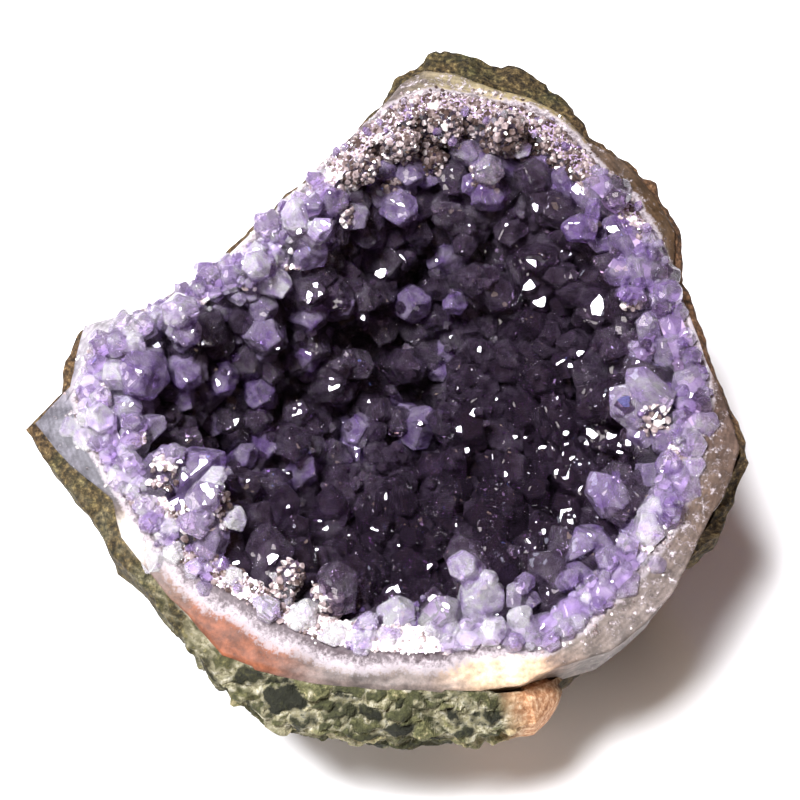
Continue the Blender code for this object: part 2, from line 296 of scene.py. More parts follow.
agate_tree = tree_of("agate_band")
basalt_tree = tree_of("basalt_rind")
crust_tree = tree_of("amethyst_crust")


def gap_to(tree, place):
    """How far a place in mm is from the nearest face of a stone, in mm."""
    return tree.find_nearest(place * MM)[3] / MM


def bearing_of(place):
    """Degrees round the stone, anticlockwise from the right as seen from above."""
    return math.degrees(math.atan2(place.y, place.x)) % 360


def by_bearing(table, place):
    """A value that changes evenly between the bearings of a table."""
    return float(np.interp(bearing_of(place), [row[0] for row in table], [row[1] for row in table]))


def clamp(value):
    """A value kept between 0 and 1."""
    return min(1.0, max(0.0, value))


print("halfway between 10 and 20:", by_bearing(((0, 10.0), (90, 20.0)), Vector((1.0, 1.0, 0.0))))

# %% [markdown]
# ## The basalt rind
#
# The rind is old lava: dark, green-brown and lumpy outside, and coarse where it broke along
# the front. Its lumps are shape and not paint, so the outer skin is cut fine, finest on the
# fresh break, and pushed in and out by noise of three sizes. The part that touches the agate
# stays plain, as it is hidden.

# %% Cut the skin fine
BURIED_BASALT = 0.7
FRESH_ABOVE, FRESH_RISE = 18.0, 8.0
FRESH_BREAK = ((0, 0.0), (190, 0.0), (200, 0.1), (222, 0.2), (238, 0.8), (250, 1.0), (290, 1.0), (300, 0.3),
               (310, 0.0), (360, 0.0))
basalt = copy_of("basalt_rind", "basalt_rock")


def outside_basalt(centre):
    """Whether a face is on the outside or on the broken face, and not against the agate."""
    return gap_to(agate_tree, centre) > BURIED_BASALT


def freshness(place):
    """How freshly broken the basalt is: along the front, and only near the rim."""
    return by_bearing(FRESH_BREAK, place) * clamp((place.z - FRESH_ABOVE) / FRESH_RISE)


for _ in range(3):
    cut_finer(basalt, outside_basalt)
cut_finer(basalt, lambda centre: outside_basalt(centre) and freshness(centre) > 0.3)
print("basalt points:", len(basalt.data.vertices))

# %% [markdown]
# The break shows lenses of harder mineral that stand out of the softer clay between them. A
# Voronoi pattern squeezed flat gives their outlines, because its cells meet in thin veins. At
# the front right a lump of orange baked clay sticks out.

# %% Push the lumps in and out
LUMPS = ((9.0, 0.9), (3.2, 0.45), (1.2, 0.22))
KNOBS = ((0, 1.0), (30, 1.4), (50, 2.3), (85, 2.3), (100, 1.2), (190, 0.8), (235, 1.0), (288, 1.0),
         (293, 0.4), (299, 0.4), (306, 1.0), (345, 1.6), (360, 1.0))
LENS_SIZE = Vector((5.4, 3.8, 2.2))
LENS_HEIGHT = 1.35
BAKED_CLAY = ((0, 0.0), (289, 0.0), (294, 0.9), (299, 1.0), (301, 0.5), (303, 0.0), (360, 0.0))
CLAY_HEIGHT = 3.0


def wrinkle(piece, layers, seed, amount, extra=lambda place: 0.0):
    """Moves each point along its normal by noise: layers are (size, height) in mm."""
    offset = Vector((seed * 3.7, seed * 1.3, seed * 7.1))
    points = [(vertex.co / MM, vertex.normal.copy()) for vertex in piece.data.vertices]
    moved = []
    for place, normal in points:
        share = amount(place)
        height = 0.0
        if share > 0:
            waves = [high * noise.noise(place / size + offset) for size, high in layers]
            height = sum(waves) + extra(place)
        moved.extend((place + normal * height * share) * MM)
    piece.data.vertices.foreach_set("co", moved)
    piece.data.update()


def lean_on(piece, tree, reach, overlap):
    """Moves points that lie near another stone a little into it, as the two are one rock."""
    moved = []
    for vertex in piece.data.vertices:
        near, _, _, distance = tree.find_nearest(vertex.co)
        if 0 < distance < reach * MM:
            moved.extend(vertex.co + (near - vertex.co) * (1 + overlap * MM / distance))
        else:
            moved.extend(vertex.co)
    piece.data.vertices.foreach_set("co", moved)
    piece.data.update()


def lens_at(place):
    """How far inside a mineral lens a place is, from 0 on the vein to 1, and the lens's tone."""
    bent = place + noise.noise_vector(place / 4.0) * 2.2 + noise.noise_vector(place / 1.4) * 0.7
    distances, centres = noise.voronoi(Vector([c / size for c, size in zip(bent, LENS_SIZE)]))
    return min(1.0, (distances[1] - distances[0]) * 2.0), clamp(0.5 + 0.9 * noise.noise(centres[0] * 7.3))


def lens_height(place):
    """How far a lens or the baked clay stands out of the broken face, in mm."""
    edge, tone = lens_at(place)
    clay = by_bearing(BAKED_CLAY, place)
    return (1 - clay) * freshness(place) * LENS_HEIGHT * (edge * (0.5 + tone) - 0.4) + CLAY_HEIGHT * clay


def basalt_share(place):
    """Full lumps outside, none at the agate and none on the flat that it rests on."""
    off_the_agate = clamp((gap_to(agate_tree, place) - 0.5) / 1.5)
    return by_bearing(KNOBS, place) * off_the_agate * clamp(place.z / 3.0)


wrinkle(basalt, LUMPS, 1, basalt_share, lens_height)
lean_on(basalt, agate_tree, 0.6, 0.1)
print("basalt height in mm:", round(max(vertex.co.z for vertex in basalt.data.vertices) / MM, 1))

# %% Measures that the finish reads
IRON_STAIN = ((0, 1.0), (40, 0.9), (52, 0.4), (62, 0.1), (90, 0.15), (110, 0.4), (185, 0.5), (196, 0.1),
              (300, 0.1), (330, 0.5), (345, 0.1), (352, 0.6), (360, 1.0))
BASALT_MEASURES = {
    "lens": lambda place: lens_at(place)[0],
    "tone": lambda place: lens_at(place)[1],
    "fresh": freshness,
    "at_agate": lambda place: gap_to(agate_tree, place),
    "stained": lambda place: by_bearing(IRON_STAIN, place),
    "baked": lambda place: by_bearing(BAKED_CLAY, place),
}


def keep_measure(piece, name, value_at):
    """Stores a number for each point of a mesh, for its material to read."""
    values = [value_at(vertex.co / MM) for vertex in piece.data.vertices]
    piece.data.attributes.new(name, "FLOAT", "POINT").data.foreach_set("value", values)


for name, value_at in BASALT_MEASURES.items():
    keep_measure(basalt, name, value_at)
print("measures:", ", ".join(BASALT_MEASURES))

# %% [markdown]
# Weathered basalt is olive brown and grainy, with greener patches, and iron has stained the
# right edge brown. One noise with grains of about a millimetre picks the tone in all of them,
# as the same minerals make up the rock, and a coarser one shares out the patches.

# %% Weathered basalt: grain, patches and iron stain
rock, shader, add = new_material("weathered_basalt")
place = add("TexCoord", {}, output="Object")
lens, tone, fresh, at_agate, stained, baked = [
    add("Attribute", {}, output="Fac", attribute_name=name) for name in BASALT_MEASURES]
grain = add("TexNoise", {"Vector": place, "Scale": 1.1 / MM, "Detail": 4, "Roughness": 0.7})
patch = add("TexNoise", {"Vector": place, "Scale": 0.16 / MM, "Detail": 3, "Roughness": 0.6})
olive = add("ValToRGB", {"Fac": grain},
            [(0.36, "#0b0905"), (0.46, "#2a2313"), (0.56, "#483d25"), (0.70, "#7f7049")])
brown = add("ValToRGB", {"Fac": grain},
            [(0.32, "#1d140e"), (0.48, "#46301f"), (0.62, "#6d4f38"), (0.78, "#a3876a")])
green = add("ValToRGB", {"Fac": grain},
            [(0.34, "#0c0f08"), (0.46, "#222815"), (0.60, "#3f4628"), (0.76, "#6d7048")])
patchy = add("MapRange", {"Value": patch, "From Min": 0.46, "From Max": 0.80})
mottled = add("Mix", {"Factor": patchy, COLOR_A: olive, COLOR_B: green}, **COLOR_MIX)
rusty = add("Mix", {"Factor": stained, COLOR_A: mottled, COLOR_B: brown}, **COLOR_MIX)
print("nodes so far:", len(rock.node_tree.nodes))

# %% [markdown]
# Where the front is freshly broken, the lenses are dark green, each with its own tone, the veins
# between them are cream clay, and small white pockets lie near the agate. The baked clay at the
# front right is orange. Its surface is smoother than the rock's, so it gets less of the bump.

# %% Weathered basalt: lenses, clay and relief
half_tone = add("Math", {0: tone, 1: 0.55}, operation="MULTIPLY")
mineral = add("Math", {0: grain, 1: 0.9, 2: half_tone}, operation="MULTIPLY_ADD")
lens_color = add("ValToRGB", {"Fac": mineral},
                 [(0.50, "#1a1b12"), (0.80, "#3c3d25"), (0.97, "#666444"), (1.0, "#8a8262")])
clay = add("ValToRGB", {"Fac": grain},
           [(0.35, "#4c4930"), (0.5, "#88836a"), (0.62, "#b7b3a2"), (0.72, "#e4e1d8")])
rough_lens = add("Math", {0: grain, 1: 1.6, 2: lens}, operation="MULTIPLY_ADD")
uneven = add("Math", {0: patch, 1: -1.8, 2: rough_lens}, operation="MULTIPLY_ADD")
vein = add("MapRange", {"Value": uneven, "From Min": 0.32, "From Max": -0.10})
broken = add("Mix", {"Factor": vein, COLOR_A: lens_color, COLOR_B: clay}, **COLOR_MIX)
cracked = add("Mix", {"Factor": fresh, COLOR_A: rusty, COLOR_B: broken}, **COLOR_MIX)
edge = add("Math", {0: patch, 1: 3.5, 2: at_agate}, operation="MULTIPLY_ADD")
pocket = add("MapRange", {"Value": edge, "From Min": 2.0, "From Max": 1.4})
white_pocket = add("Math", {0: pocket, 1: fresh}, operation="MULTIPLY")
pocketed = add("Mix", {"Factor": white_pocket, COLOR_A: cracked, COLOR_B: linear("#cdc6b6")}, **COLOR_MIX)
orange = add("ValToRGB", {"Fac": grain},
             [(0.30, "#7d5238"), (0.48, "#b0805c"), (0.66, "#dcbb98"), (0.80, "#efe0cc")])
colored = add("Mix", {"Factor": baked, COLOR_A: pocketed, COLOR_B: orange}, **COLOR_MIX)
crumb = add("TexNoise", {"Vector": place, "Scale": 0.42 / MM, "Detail": 3, "Roughness": 0.6})
rough = add("Math", {0: crumb, 1: 1.6, 2: grain}, operation="MULTIPLY_ADD")
not_baked = add("Math", {0: baked, 1: -0.8, 2: 1.0}, operation="MULTIPLY_ADD")
height = add("Math", {0: rough, 1: not_baked}, operation="MULTIPLY")
bump = add("Bump", {"Height": height, "Strength": 0.9, "Distance": 0.6 * MM})
set_inputs(shader, {"Base Color": colored, "Normal": bump, "Roughness": 0.85, "Specular IOR Level": 0.25})
finish_mesh(basalt, rock, "basalt", "basalt_rind")

# %% [markdown]
# ## The agate lining
#
# Agate grew on the wall of the bubble in layers thinner than a hair, so its bands follow the
# crystals' foot at an even distance. That distance is measured for every point and kept in the
# mesh as an attribute, which the material then turns into bands. A second attribute says where
# the broken agate is crumbly, with bits of quartz on it.

# %% Cut and roughen the agate
BURIED_AGATE = 0.6
AGATE_WRINKLES = ((4.0, 0.45), (1.3, 0.14), (0.5, 0.05))
FRINGE_WIDTH = ((0, 1.0), (215, 1.0), (226, 2.2), (254, 2.2), (266, 2.0), (285, 1.6), (300, 1.0), (360, 1.0))
CRUMBLY = ((0, 0.7), (40, 0.7), (58, 1.0), (105, 1.0), (125, 0.3), (170, 0.4), (188, 0.7), (204, 0.4),
           (216, 0.5), (226, 0.3), (280, 0.2), (292, 0.0), (300, 0.4), (312, 1.0), (345, 1.0), (360, 0.7))
agate = copy_of("agate_band", "agate_lining")


def bare_gap(place):
    """How far a place is from both the basalt and the quartz, in mm."""
    return min(gap_to(basalt_tree, place), gap_to(crust_tree, place))


for _ in range(3):
    cut_finer(agate, lambda centre: bare_gap(centre) > BURIED_AGATE)
wrinkle(agate, AGATE_WRINKLES, 2, lambda place: clamp((bare_gap(place) - 0.3) / 0.8))
lean_on(agate, basalt_tree, 0.5, 0.15)
lean_on(agate, crust_tree, 0.5, 0.15)
only(agate)
bpy.ops.object.shade_smooth()
keep_measure(agate, "from_quartz", lambda place: gap_to(crust_tree, place) / by_bearing(FRINGE_WIDTH, place))
keep_measure(agate, "crumbly", lambda place: by_bearing(CRUMBLY, place) - 0.07 * gap_to(crust_tree, place))
print("agate points:", len(agate.data.vertices))

# %% [markdown]
# Agate isn't one colour all round. It is grey and clear at the left tip and along the bare side
# at the lower right, brown-grey at the front, cream at the front corner, and stained orange by
# iron in one long patch at the lower left and brown along the right edge. The tints are a short
# table by bearing, kept in the mesh as a colour.

# %% Tints round the stone
AGATE_TINTS = (
    (0, "#4a3931"), (30, "#42311f"), (50, "#4d3f34"), (60, "#8a7c58"), (78, "#857a60"), (88, "#5f5550"),
    (110, "#98908e"), (150, "#b4aeb0"), (180, "#77737a"), (188, "#57555c"), (203, "#504e54"),
    (208, "#4f433c"), (211, "#c4bbb1"), (217, "#cac1b9"), (221, "#6a5a56"), (227, "#5a463c"),
    (235, "#6b3c26"), (249, "#6c3f2a"), (256, "#6a5a54"), (265, "#5e5551"), (280, "#70645e"),
    (286, "#a98f74"), (291, "#dcc0a0"), (296, "#cfae8e"), (300, "#7a6558"), (305, "#6a605a"),
    (320, "#6c625e"), (336, "#5c4c42"), (350, "#52423a"), (360, "#4a3931"),
)
TINT_STATIONS = [row[0] for row in AGATE_TINTS]
TINT_CHANNELS = list(zip(*[linear(row[1]) for row in AGATE_TINTS]))


def tint_at(place):
    """The agate's own colour at a place, evened between the table's bearings."""
    bearing = (bearing_of(place) + 3.0 * noise.noise(place / 5.0)) % 360
    return [float(np.interp(bearing, TINT_STATIONS, channel)) for channel in TINT_CHANNELS]


tints = [channel for vertex in agate.data.vertices for channel in tint_at(vertex.co / MM)]
agate.data.attributes.new("tint", "FLOAT_COLOR", "POINT").data.foreach_set("color", tints)
print("tints from", min(tints), "to", max(tints))

# %% [markdown]
# Over the tints run the bands, in waves a little under a millimetre apart, with clouds of paler
# and darker agate through them. Next to the quartz lies a frayed white fringe, dark where the
# crystals' feet stand on it, and where the agate is crumbly, bits of white quartz stick to it.
# Broken agate is waxy, so it is fairly smooth but has weak highlights.

# %% Banded agate
banded, shader, add = new_material("banded_agate")
place = add("TexCoord", {}, output="Object")
depth = add("Attribute", {}, output="Fac", attribute_name="from_quartz")
crumbly = add("Attribute", {}, output="Fac", attribute_name="crumbly")
tint = add("Attribute", {}, output="Color", attribute_name="tint")
wobble = add("TexNoise", {"Vector": place, "Scale": 0.17 / MM, "Detail": 3})
fuzz = add("TexNoise", {"Vector": place, "Scale": 1.3 / MM, "Detail": 5, "Roughness": 0.75})
cloud = add("TexNoise", {"Vector": place, "Scale": 0.38 / MM, "Detail": 4, "Roughness": 0.6})
crumbs = add("TexNoise", {"Vector": place, "Scale": 0.62 / MM, "Detail": 6, "Roughness": 0.8})
waved = add("Math", {0: wobble, 1: 1.6, 2: depth}, operation="MULTIPLY_ADD")
layers = add("Math", {0: waved, 1: 8.0}, operation="MULTIPLY")
wave = add("Math", {0: layers}, operation="SINE")
light = add("MapRange", {"Value": wave, "From Min": -1.0, "To Min": 0.90, "To Max": 1.10})
clouded = add("MapRange", {"Value": cloud, "From Min": 0.35, "From Max": 0.65, "To Min": 0.60,
                           "To Max": 1.28})
both = add("Math", {0: light, 1: clouded}, operation="MULTIPLY")
lit = add("VectorMath", {0: tint, "Scale": both}, operation="SCALE")
frayed = add("Math", {0: fuzz, 1: 2.4, 2: waved}, operation="MULTIPLY_ADD")
fringe_place = add("MapRange", {"Value": frayed, "From Min": 1.4, "From Max": 7.0})
fringe_color = add("ValToRGB", {"Fac": fringe_place},
                   [(0.0, "#3e3438"), (0.20, "#54494d"), (0.30, "#8f868a"), (0.40, "#a69ea2")])
in_fringe = add("MapRange", {"Value": fringe_place, "From Min": 0.46, "From Max": 0.34})
pale = add("Mix", {"Factor": in_fringe, COLOR_A: lit, COLOR_B: fringe_color}, **COLOR_MIX)
print("nodes so far:", len(banded.node_tree.nodes))

# %% Banded agate: grain and crumbs
grainy = add("MapRange", {"Value": fuzz, "From Min": 0.3, "From Max": 0.7, "To Min": 0.65, "To Max": 1.3})
color = add("VectorMath", {0: pale, "Scale": grainy}, operation="SCALE")
often = add("Math", {0: crumbly, 1: 0.17, 2: crumbs}, operation="MULTIPLY_ADD")
crumb_share = add("MapRange", {"Value": often, "From Min": 0.64, "From Max": 0.74})
crumb_color = add("ValToRGB", {"Fac": fuzz},
                  [(0.36, "#3c2f2c"), (0.48, "#8d8184"), (0.6, "#d4cbd0"), (0.75, "#f2eef0")])
crumbed = add("Mix", {"Factor": crumb_share, COLOR_A: color, COLOR_B: crumb_color}, **COLOR_MIX)
relief = add("Math", {0: crumb_share, 1: 1.5, 2: fuzz}, operation="MULTIPLY_ADD")
bump = add("Bump", {"Height": relief, "Strength": 0.5, "Distance": 0.2 * MM})
set_inputs(shader, {"Base Color": crumbed, "Normal": bump, "Roughness": 0.5, "Specular IOR Level": 0.25})
finish_mesh(agate, banded, "agate", "agate_band")

# %% [markdown]
# ## The crust of crystals
#
# Under the crystals lies a layer of milky quartz, and the larger crystals of the solid stand on
# it. The solid's copy is the start. Its underside and its rim are milky quartz, and the rest is
# clear amethyst, so light goes in at a face, meets the milky foot and comes back violet.
# Crystals are nearly white at the rim and deepest violet far down, partly by their own zoning and
# partly as painted shade deep in the hollow. How violet a point is, painted light and shade
# included, is kept in the mesh as an attribute that the material reads.

# %% Where the stone is violet
RIM_RISE = 0.27
RIM_LEVEL = 54.0
# Besides the crystals' own zoning, these tables paint light and shade into their tone: painted light makes
# them paler on the left and far wall and whiter on the upper-left rim, and painted shade makes them darker on
# the right and down at the front.
PALE_DEPTH_WITH_PAINTED_LIGHT = ((0, 9.0), (60, 8.0), (90, 10.0), (120, 6.0), (150, 8.0), (185, 9.0), (200, 6.0), (220, 5.0),
              (270, 5.0), (290, 7.0), (320, 11.0), (345, 10.0), (360, 9.0))
LEAST_VIOLET_WITH_PAINTED_LIGHT = ((0, 0.46), (40, 0.48), (60, 0.38), (95, 0.26), (150, 0.24), (180, 0.26), (200, 0.28),
                (235, 0.20), (250, 0.02), (262, 0.0), (285, 0.08), (300, 0.26), (345, 0.42), (360, 0.46))
MOST_VIOLET_WITH_PAINTED_LIGHT = ((0, 1.15), (40, 1.0), (60, 0.76), (120, 0.70), (180, 0.72), (205, 0.82), (235, 1.0),
               (260, 1.2), (300, 1.2), (360, 1.15))


def depth_below_rim(place):
    """How far a place in mm lies below the sloping plane of the rim."""
    return RIM_LEVEL + RIM_RISE * place.y - place.z


def violet_with_painted_light_at(place):
    """0 where a crystal is white, and 1 or a little more where it is deepest violet, painted light and shade
    included.
    """
    pale = by_bearing(PALE_DEPTH_WITH_PAINTED_LIGHT, place) * (1.0 + 0.35 * noise.noise(place / 9.0))
    share = clamp((depth_below_rim(place) + 1.0) / (pale + 4.0))
    least = by_bearing(LEAST_VIOLET_WITH_PAINTED_LIGHT, place)
    most = by_bearing(MOST_VIOLET_WITH_PAINTED_LIGHT, place)
    return least + (most - least) * share * share * (3 - 2 * share)


print("violet at the front rim and in the hollow:",
      [round(violet_with_painted_light_at(Vector(place)), 2) for place in ((0.0, -45.0, 42.0), (0.0, 0.0, 20.0))])

# %% [markdown]
# Amethyst is quartz that iron has turned violet, in zones and veils and not evenly, so a cloudy
# noise is added to the attribute before it picks a tone. The attribute also carries the painted
# light and shade from above, so the tone is darker down in the hollow partly as painted shade. A
# crystal face isn't one flat plane but many small growth facets that lean a little each way. A
# Voronoi pattern gives each cell a random colour, and the cell's height rises in the direction of
# that colour, so that every cell is a small facet of its own. The stone is clear, with some
# absorption inside. The sugary crystals on the rim are so small and many that they look white, so
# they aren't see-through.

# %% Amethyst and milky quartz
VEILS = 1.6
VIOLET_SHARE = 0.72
TONE_STOPS = (0.18, 0.43, 0.72, 0.98)
QUARTZ_IOR = 1.544


def amethyst(name, tones, facet_size, facet_slope, clearness=0.0, absorbed="#ffffff", density=0.0):
    """Quartz with a tone by its violet attribute and growth facets of a size in mm."""
    stone, shader, add = new_material(name)
    violet = add("Attribute", {}, output="Fac", attribute_name="violet")
    place = add("TexCoord", {}, output="Object")
    cloud = add("TexNoise", {"Vector": place, "Scale": 0.45 / MM, "Detail": 4, "Roughness": 0.65})
    veils = add("Math", {0: cloud, 1: VEILS, 2: 0.25 - VEILS / 2}, operation="MULTIPLY_ADD")
    shifted = add("Math", {0: veils, 1: violet}, operation="ADD")
    narrowed = add("Math", {0: shifted, 1: VIOLET_SHARE}, operation="MULTIPLY")
    # The tone follows the violet attribute, painted light and shade included.
    color = add("ValToRGB", {"Fac": narrowed}, list(zip(TONE_STOPS, tones)))
    cells = add("TexVoronoi", {"Vector": place, "Scale": 1.0 / (facet_size * MM)}, output="Color")
    middle = cells.node.outputs["Position"]
    leaning = add("VectorMath", {0: cells, 1: (0.5, 0.5, 0.5)}, operation="SUBTRACT")
    inside = add("VectorMath", {0: place, 1: middle}, operation="SUBTRACT")
    slope = add("VectorMath", {0: leaning, 1: inside}, output="Value", operation="DOT_PRODUCT")
    bump = add("Bump", {"Height": slope, "Strength": 1.0, "Distance": facet_slope})
    set_inputs(shader, {"Base Color": color, "Normal": bump, "Roughness": 0.03, "IOR": QUARTZ_IOR,
                        "Specular IOR Level": 0.8, "Transmission Weight": clearness})
    if clearness:
        absorb = add("VolumeAbsorption", {"Color": linear(absorbed), "Density": density})
        set_inputs(stone.node_tree.nodes["Material Output"], {"Volume": absorb})
    return stone


CLEAR_TONES = ("#fdfbfe", "#ebdff2", "#a993b3", "#6f5a76")
PALE_TONES = ("#ffffff", "#e4d3f6", "#a787cd", "#8a68b4")
SNOW_TONES = ("#ffffff", "#dfcaf8", "#b08cdf", "#a27fd0")
SUGAR_TONES = ("#ece6e4", "#9c8c8c", "#4c3d39", "#352a27")
clear = amethyst("clear_amethyst", CLEAR_TONES, 0.9, 0.34, 0.94, "#8f62a8", 60)
pale_stone = amethyst("pale_amethyst", PALE_TONES, 1.1, 0.36, 0.84, "#8d52c2", 60)
snow = amethyst("white_quartz", SNOW_TONES, 1.1, 0.36, 0.74, "#a468e0", 50)
sugar = amethyst("sugary_quartz", SUGAR_TONES, 0.6, 0.5)
mirror_faced = amethyst("flat_faced_amethyst", CLEAR_TONES, 1.3, 0.02, 0.94, "#8f62a8", 60)

milk, shader, add = new_material("milky_quartz")
violet = add("Attribute", {}, output="Fac", attribute_name="violet")
narrowed = add("Math", {0: violet, 1: 0.8}, operation="MULTIPLY")
# The milky foot's colour follows the violet attribute too, so it darkens down in the hollow partly as painted
# shade.
color = add("ValToRGB", {"Fac": narrowed},
            [(0.0, "#cfc5d1"), (0.32, "#a08bad"), (0.8, "#866c82"), (1.0, "#4f3f4d")])
set_inputs(shader, {"Base Color": color, "Roughness": 0.4})
print("stones:", ", ".join(stone.name for stone in (clear, pale_stone, snow, sugar, mirror_faced, milk)))

# %% [markdown]
# The solid's crust is one skin, so each face is sorted by where it lies and how it leans: the
# underside on the agate, the flat rim, the wall, or a face of one of its crystals. Between them
# the small crystals will grow later.

# %% The crust of the solid
LARGE_TONE = 0.78
RIM_BAND = (-1.6, 2.0)
PALE_BAND = (-1.6, 1.5)
ON_THE_AGATE, LEVEL, ALONG_THE_WALL = 0.8, 0.8, 0.85
UNDERSIDE, RIM, WALL, CRYSTAL = range(4)
crust = copy_of("amethyst_crust", "large_crystals")


def wall_normal(spot):
    """The direction away from the agate at a point."""
    return (spot - agate_tree.find_nearest(spot)[0]).normalized()


def part_of_crust(polygon):
    """Which part of the crust a face belongs to."""
    place, normal = polygon.center, polygon.normal
    if agate_tree.find_nearest(place)[3] < ON_THE_AGATE * MM and normal.dot(wall_normal(place)) < 0:
        return UNDERSIDE
    if normal.z > LEVEL and RIM_BAND[0] < depth_below_rim(place / MM) < RIM_BAND[1]:
        return RIM
    return WALL if normal.dot(wall_normal(place)) > ALONG_THE_WALL else CRYSTAL


def violet_with_painted_light_of_crust(place):
    """Pale along the rim, and at least the tone of a large crystal everywhere else."""
    on_the_rim = PALE_BAND[0] < depth_below_rim(place) < PALE_BAND[1]
    return violet_with_painted_light_at(place) if on_the_rim else max(violet_with_painted_light_at(place), LARGE_TONE)


parts = [part_of_crust(polygon) for polygon in crust.data.polygons]
crust.data.materials.append(milk)
keep_measure(crust, "violet", violet_with_painted_light_of_crust)
finish_mesh(crust, clear, "amethyst", "amethyst_crust")
for polygon, part in zip(crust.data.polygons, parts):
    polygon.material_index = 0 if part in (UNDERSIDE, RIM) else 1
print("faces of underside, rim, wall, crystals:", [parts.count(kind) for kind in range(4)])

# %% [markdown]
# ## One crystal, cut by hand
#
# A quartz crystal is a six-sided column that ends in six sloping faces, three large and three
# small in turn. A cylinder with six sides is cut by six planes, once for each end face. A few
# such crystals with unlike points are enough, because they're copied at every size and turn.
# One set has worn edges, for the larger crystals, and one has sharp edges, for the smallest.

# %% Cut the sample crystals
END_SLOPE = math.radians(42)
EDGE_WIDTH = 0.07
COLUMNS = (0.3, 0.5, 0.8, 1.1, 1.5, 2.0)
UNLIKE_POINTS = 3
dice = random.Random(5)


def cut_crystal(name, column, rises, slide, edge_width):
    """A crystal of radius 1 whose foot is at the origin and whose six end faces are cut by planes."""
    uncut = column + 3.0
    bpy.ops.object.select_all(action="DESELECT")
    bpy.ops.mesh.primitive_cylinder_add(vertices=6, radius=1.0, depth=uncut, location=(0, 0, uncut / 2))
    crystal = bpy.context.object
    crystal.name = name
    bpy.ops.object.transform_apply(location=True)
    bpy.ops.object.mode_set(mode="EDIT")
    for side, rise in enumerate(rises):
        angle = math.radians(60 * side)
        flat = math.cos(END_SLOPE)
        outward = (math.cos(angle) * flat, math.sin(angle) * flat, math.sin(END_SLOPE))
        bpy.ops.mesh.select_all(action="SELECT")
        bpy.ops.mesh.bisect(plane_co=(*slide, column + rise), plane_no=outward, use_fill=True,
                            clear_outer=True)
    if edge_width:
        bpy.ops.mesh.select_all(action="SELECT")
        bpy.ops.mesh.bevel(offset=edge_width, segments=1, affect="EDGES")
    bpy.ops.object.mode_set(mode="OBJECT")
    return crystal


def cut_samples(name, edge_width):
    """Eighteen crystals, from stubby to tall, with unlike points."""
    cut = []
    for index, column in enumerate(COLUMNS):
        for twin in range(UNLIKE_POINTS):
            rises = [0.9 + dice.uniform(0.1, 0.45) * (side % 2) + dice.uniform(-0.06, 0.06)
                     for side in range(6)]
            slide = (dice.uniform(-0.25, 0.25), dice.uniform(-0.25, 0.25))
            cut.append(cut_crystal(f"{name}_{index}_{twin}", column, rises, slide, edge_width))
    return cut


worn_samples = cut_samples("worn", EDGE_WIDTH)
sharp_samples = cut_samples("sharp", 0)
for sample in (worn_samples[0], sharp_samples[0]):
    print(sample.name, "has", len(sample.data.polygons), "faces")

# %% [markdown]
# ## Spreading the crystals
#
# Small crystals fill the wall between the large ones, and grains like sugar cover parts of the
# rim. Places are drawn evenly over the crust's faces. A place is kept if no neighbour stands
# too near. So that this goes fast, the kept places are sorted into cells, and only the cells
# round a new place are searched.

# %% Draw places on the crust
sites_dice = random.Random(21)


def smooth_normal(spot):
    """The direction away from the agate wall at a place, evened over its surroundings."""
    found = Vector((0, 0, 0))
    for _ in range(6):
        shaken = spot + Vector([sites_dice.uniform(-4, 4) * MM for _ in range(3)])
        found += wall_normal(shaken)
    return found.normalized()


class Spread:
    """Places that keep their distance from each other, in cells of a size in mm."""

    def __init__(self, cell):
        self.cell = cell
        self.grid = {}

    def free(self, spot, radius, closeness):
        """Whether no kept place is too near, and if so, keeps this one."""
        key = [int(c // self.cell) for c in spot]
        for step in product((-1, 0, 1), repeat=3):
            near = self.grid.get(tuple(map(sum, zip(key, step))), ())
            if any((spot - other).length < closeness * (radius + size) for other, size in near):
                return False
        self.grid.setdefault(tuple(key), []).append((spot.copy(), radius))
        return True


def draw_on_faces(piece, faces, tries, sizes, closeness, wanted, spread, straight):
    """Places in mm on some faces of a piece, drawn by area: place, direction and radius."""
    picked = sites_dice.choices(faces, weights=[face.area for face in faces], k=tries)
    places = []
    for face in picked:
        corners = [piece.data.vertices[index].co for index in face.vertices[:3]]
        a, b = sorted((sites_dice.random(), sites_dice.random()))
        spot = corners[0] * a + corners[1] * (b - a) + corners[2] * (1 - b)
        radius = sites_dice.uniform(*sizes)
        if wanted(spot / MM) and spread.free(spot / MM, radius, closeness):
            places.append((spot / MM, face.normal.copy() if straight else smooth_normal(spot), radius))
    return places


def draw_places(kinds, tries, sizes, closeness, wanted, spread):
    """Places on the faces of the crust that are of these kinds."""
    faces = [polygon for polygon, part in zip(crust.data.polygons, parts) if part in kinds]
    return draw_on_faces(crust, faces, tries, sizes, closeness, wanted, spread, WALL not in kinds)


print("normal in the middle of the hollow:", [round(c, 1) for c in wall_normal(Vector((0, 0, 20)) * MM)])

# %% [markdown]
# The sugar lies where the crystals stayed tiny: on most of the far rim and the front rim, and
# on a belt of the wall just under them.

# %% Where the quartz is like sugar
SUGAR = ((0, 0.1), (40, 0.5), (55, 1.2), (98, 1.2), (110, 0.4), (150, 0.25), (180, 0.1), (200, 0.2),
         (215, 0.4), (235, 0.8), (250, 0.7), (265, 0.9), (280, 0.7), (290, 0.1), (330, 0.1), (360, 0.1))
SUGAR_DEPTH = ((0, 0.0), (45, 1.0), (58, 5.0), (80, 7.0), (100, 6.0), (112, 0.0), (230, 0.0), (245, 2.5),
               (262, 3.0), (275, 1.0), (285, 0.0), (360, 0.0))


def is_sugary(place):
    """Whether a place on the rim has grains and not crystals, which is more often so in some parts."""
    return 0.5 + 0.9 * noise.noise(place / 6.0) < by_bearing(SUGAR, place)


def not_sugary(place):
    """Whether a place has crystals and not grains."""
    return not is_sugary(place)


